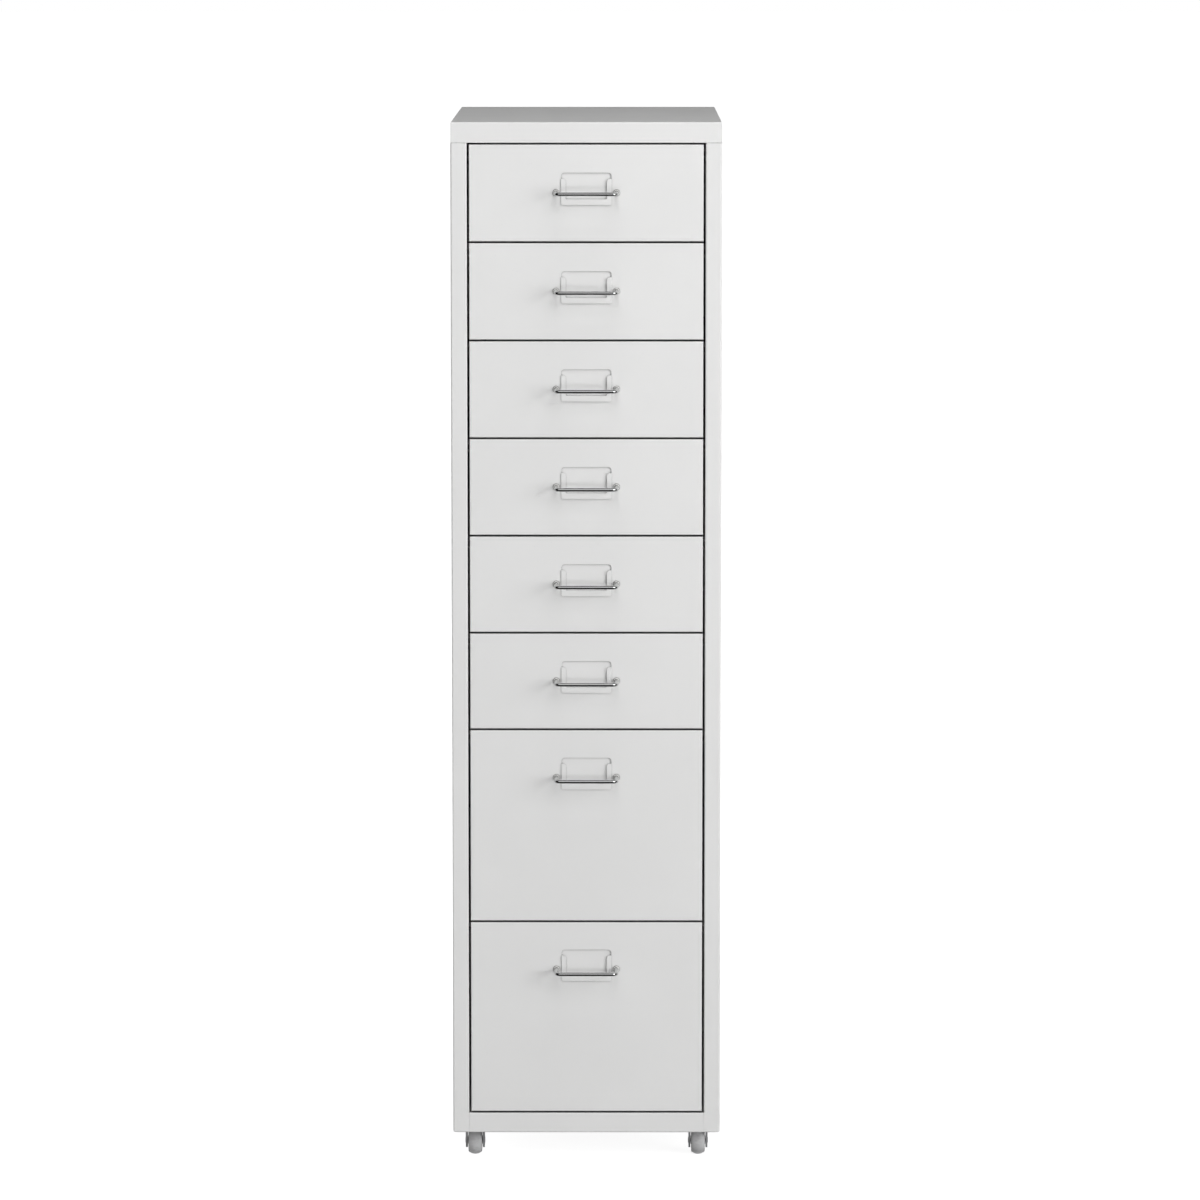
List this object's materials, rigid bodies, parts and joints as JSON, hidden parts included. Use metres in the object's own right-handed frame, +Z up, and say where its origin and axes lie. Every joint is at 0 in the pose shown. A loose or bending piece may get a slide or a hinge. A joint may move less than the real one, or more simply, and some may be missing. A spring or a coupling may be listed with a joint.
{
  "type": "drawer cabinet",
  "caption": "Tall narrow steel drawer cabinet on swivel casters, with small drawers above deep ones, wire bow handles and pressed label holders.",
  "frame": {"origin": "on the floor under the centre of the overall box, handles and rear screw heads included", "axes": "+Z up, the drawers open towards -Y, +X to the right as seen from the front"},
  "size_m": [0.28, 0.4636, 1.0903],
  "materials": {
    "panel_white": "smooth satin white powder coat",
    "inner_white": "satin white powder coat on the inside parts",
    "handle_chrome": "bright chrome-plated wire",
    "zinc_steel": "bright zinc-plated steel",
    "bush_white": "white moulded plastic",
    "wheel_grey": "mid-grey moulded plastic"
  },
  "bodies": {
    "root": {"top_panel": "panel_white", "side_left": "panel_white", "side_right": "panel_white", "back_panel": "panel_white", "bottom_panel": "panel_white", "rails_left": "inner_white", "rails_right": "inner_white", "back_screws": "zinc_steel", "base_channels": "panel_white", "caster_plates": "zinc_steel", "caster_kingpins": "zinc_steel", "caster_washers": "bush_white", "caster_bolts": "zinc_steel", "caster_nuts": "zinc_steel"},
    "drawer_1": {"drawer_1_front": "panel_white", "drawer_1_tray": "inner_white", "drawer_1_handle": "handle_chrome", "drawer_1_bushes": "bush_white"},
    "drawer_2": {"drawer_2_front": "panel_white", "drawer_2_tray": "inner_white", "drawer_2_handle": "handle_chrome", "drawer_2_bushes": "bush_white"},
    "drawer_3": {"drawer_3_front": "panel_white", "drawer_3_tray": "inner_white", "drawer_3_handle": "handle_chrome", "drawer_3_bushes": "bush_white"},
    "drawer_4": {"drawer_4_front": "panel_white", "drawer_4_tray": "inner_white", "drawer_4_handle": "handle_chrome", "drawer_4_bushes": "bush_white"},
    "drawer_5": {"drawer_5_front": "panel_white", "drawer_5_tray": "inner_white", "drawer_5_handle": "handle_chrome", "drawer_5_bushes": "bush_white"},
    "drawer_6": {"drawer_6_front": "panel_white", "drawer_6_tray": "inner_white", "drawer_6_handle": "handle_chrome", "drawer_6_bushes": "bush_white"},
    "drawer_7": {"drawer_7_front": "panel_white", "drawer_7_tray": "inner_white", "drawer_7_handle": "handle_chrome", "drawer_7_bushes": "bush_white"},
    "drawer_8": {"drawer_8_front": "panel_white", "drawer_8_tray": "inner_white", "drawer_8_handle": "handle_chrome", "drawer_8_bushes": "bush_white"},
    "caster_front_left": {"fork_front_left": "zinc_steel", "axle_front_left": "zinc_steel"},
    "caster_wheel_front_left": {"wheel_front_left": "wheel_grey"},
    "caster_front_right": {"fork_front_right": "zinc_steel", "axle_front_right": "zinc_steel"},
    "caster_wheel_front_right": {"wheel_front_right": "wheel_grey"},
    "caster_rear_left": {"fork_rear_left": "zinc_steel", "axle_rear_left": "zinc_steel"},
    "caster_wheel_rear_left": {"wheel_rear_left": "wheel_grey"},
    "caster_rear_right": {"fork_rear_right": "zinc_steel", "axle_rear_right": "zinc_steel"},
    "caster_wheel_rear_right": {"wheel_rear_right": "wheel_grey"}
  },
  "joints": [
    {"name": "drawer_1_slide", "type": "slide", "parent": "root", "child": "drawer_1", "axis": [0, -1, 0], "range_m": [0, 0.3]},
    {"name": "drawer_2_slide", "type": "slide", "parent": "root", "child": "drawer_2", "axis": [0, -1, 0], "range_m": [0, 0.3]},
    {"name": "drawer_3_slide", "type": "slide", "parent": "root", "child": "drawer_3", "axis": [0, -1, 0], "range_m": [0, 0.3]},
    {"name": "drawer_4_slide", "type": "slide", "parent": "root", "child": "drawer_4", "axis": [0, -1, 0], "range_m": [0, 0.3]},
    {"name": "drawer_5_slide", "type": "slide", "parent": "root", "child": "drawer_5", "axis": [0, -1, 0], "range_m": [0, 0.3]},
    {"name": "drawer_6_slide", "type": "slide", "parent": "root", "child": "drawer_6", "axis": [0, -1, 0], "range_m": [0, 0.3]},
    {"name": "drawer_7_slide", "type": "slide", "parent": "root", "child": "drawer_7", "axis": [0, -1, 0], "range_m": [0, 0.3]},
    {"name": "drawer_8_slide", "type": "slide", "parent": "root", "child": "drawer_8", "axis": [0, -1, 0], "range_m": [0, 0.3]},
    {"name": "swivel_front_left", "type": "hinge", "parent": "root", "child": "caster_front_left", "pos_m": [-0.1177, -0.1758, 0.015], "axis": [0, 0, 1], "continuous": true},
    {"name": "spin_front_left", "type": "hinge", "parent": "caster_front_left", "child": "caster_wheel_front_left", "pos_m": [-0.1177, -0.1638, 0.015], "axis": [1, 0, 0], "continuous": true},
    {"name": "swivel_front_right", "type": "hinge", "parent": "root", "child": "caster_front_right", "pos_m": [0.1177, -0.1758, 0.015], "axis": [0, 0, 1], "continuous": true},
    {"name": "spin_front_right", "type": "hinge", "parent": "caster_front_right", "child": "caster_wheel_front_right", "pos_m": [0.1177, -0.1638, 0.015], "axis": [1, 0, 0], "continuous": true},
    {"name": "swivel_rear_left", "type": "hinge", "parent": "root", "child": "caster_rear_left", "pos_m": [-0.1177, 0.2062, 0.015], "axis": [0, 0, 1], "continuous": true},
    {"name": "spin_rear_left", "type": "hinge", "parent": "caster_rear_left", "child": "caster_wheel_rear_left", "pos_m": [-0.1177, 0.1942, 0.015], "axis": [1, 0, 0], "continuous": true},
    {"name": "swivel_rear_right", "type": "hinge", "parent": "root", "child": "caster_rear_right", "pos_m": [0.1177, 0.2062, 0.015], "axis": [0, 0, 1], "continuous": true},
    {"name": "spin_rear_right", "type": "hinge", "parent": "caster_rear_right", "child": "caster_wheel_rear_right", "pos_m": [0.1177, 0.1942, 0.015], "axis": [1, 0, 0], "continuous": true}
  ]
}
